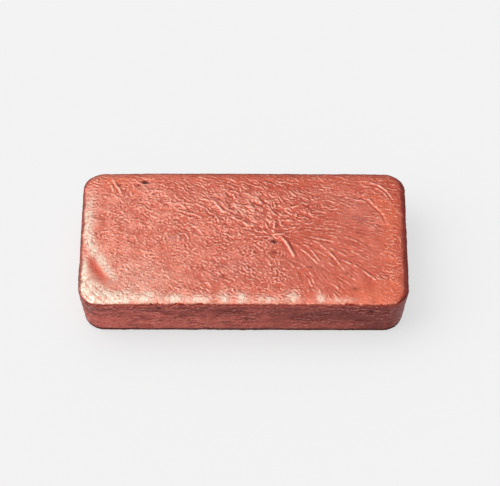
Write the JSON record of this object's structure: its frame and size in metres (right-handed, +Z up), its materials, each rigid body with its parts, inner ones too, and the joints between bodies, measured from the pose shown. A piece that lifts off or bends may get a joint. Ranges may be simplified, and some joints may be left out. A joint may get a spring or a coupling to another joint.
{
  "type": "poured copper bar",
  "caption": "Solid poured copper bar with leaning sides, rounded corners, a rolled top edge and a wrinkled, slightly domed open-poured top; rests on its flat base.",
  "frame": {"origin": "centre of the flat base, on the surface that the bar rests on", "axes": "+X along the bar, +Y across it, +Z up through the open-poured top"},
  "size_m": [0.114, 0.06, 0.0175],
  "materials": {
    "poured_copper": "satin"
  },
  "bodies": {
    "root": {"copper_bar": "poured_copper"}
  },
  "joints": []
}
